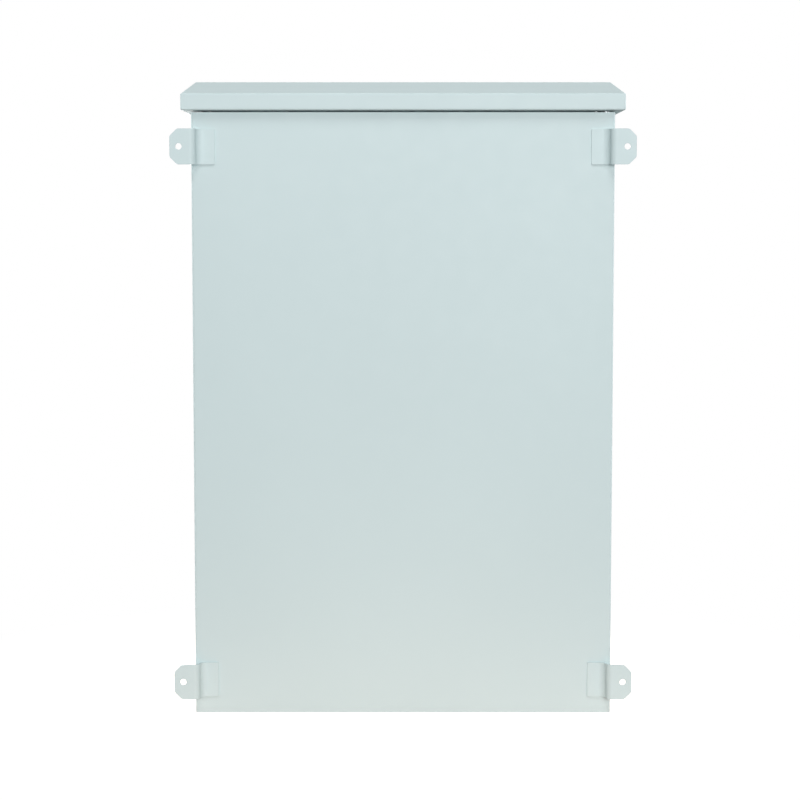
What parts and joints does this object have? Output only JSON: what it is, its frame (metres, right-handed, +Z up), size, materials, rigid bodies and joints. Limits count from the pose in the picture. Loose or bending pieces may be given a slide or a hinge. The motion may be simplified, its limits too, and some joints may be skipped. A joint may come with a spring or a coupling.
{
  "type": "roadside utility cabinet",
  "caption": "Wall-mounted sheet-steel outdoor cabinet with a sloping rain roof, joggled fixing lugs at the rear and a hinged, sealed door with quarter-turn locks.",
  "frame": {"origin": "centre of the overall box at the level of the case underside", "axes": "+Z up, +Y towards the wall behind the cabinet, -Y out of the door, +X to the right seen from the door side"},
  "size_m": [0.876, 0.294, 1.2232],
  "materials": {
    "paint": "satin powder coat",
    "zinc": "zinc plated",
    "lock_metal": "satin nickel",
    "rubber": "matt",
    "brass": "plain"
  },
  "bodies": {
    "cabinet": {"case_wrap": "paint", "case_top": "paint", "case_bottom": "paint", "front_frame": "paint", "rain_roof": "paint", "lug_upper_left": "paint", "lug_upper_right": "paint", "lug_lower_left": "paint", "lug_lower_right": "paint", "hinge_frame_half_upper": "paint", "hinge_frame_half_middle": "paint", "hinge_frame_half_lower": "paint", "roof_spacers": "zinc", "roof_screws": "zinc", "roof_nuts": "zinc", "mounting_plate": "zinc", "plate_studs": "zinc", "plate_nuts": "zinc", "gland_plate_left": "zinc", "gland_plate_right": "zinc", "gland_studs": "zinc", "gland_nuts": "zinc", "case_earth_stud": "zinc", "case_earth_nut": "zinc", "hinge_pin_upper": "zinc", "hinge_pin_middle": "zinc", "hinge_pin_lower": "zinc", "gland_gasket_left": "rubber", "gland_gasket_right": "rubber", "hinge_washer_upper": "brass", "hinge_washer_middle": "brass", "hinge_washer_lower": "brass"},
    "door": {"door_panel": "paint", "door_seal": "rubber", "door_stiffener_left": "paint", "door_stiffener_right": "paint", "door_earth_stud": "zinc", "door_earth_nut": "zinc", "hinge_door_half_upper": "paint", "hinge_door_half_middle": "paint", "hinge_door_half_lower": "paint", "lock_housing_upper": "lock_metal", "lock_housing_lower": "lock_metal", "lock_nut_upper": "lock_metal", "lock_nut_lower": "lock_metal", "lock_gasket_upper": "rubber", "lock_gasket_lower": "rubber"},
    "lock_upper": {"lock_plug_upper": "lock_metal", "lock_cam_upper": "zinc", "lock_cam_screw_upper": "zinc"},
    "lock_lower": {"lock_plug_lower": "lock_metal", "lock_cam_lower": "zinc", "lock_cam_screw_lower": "zinc"}
  },
  "joints": [
    {"name": "door_hinge", "type": "hinge", "parent": "cabinet", "child": "door", "pos_m": [0.3925, -0.1185, 0.575], "axis": [0, 0, 1], "range_deg": [0, 130]},
    {"name": "lock_upper_turn", "type": "hinge", "parent": "door", "child": "lock_upper", "pos_m": [-0.323, -0.12, 0.855], "axis": [0, 1, 0], "range_deg": [0, 90]},
    {"name": "lock_lower_turn", "type": "hinge", "parent": "door", "child": "lock_lower", "pos_m": [-0.323, -0.12, 0.295], "axis": [0, 1, 0], "range_deg": [0, 90]}
  ]
}
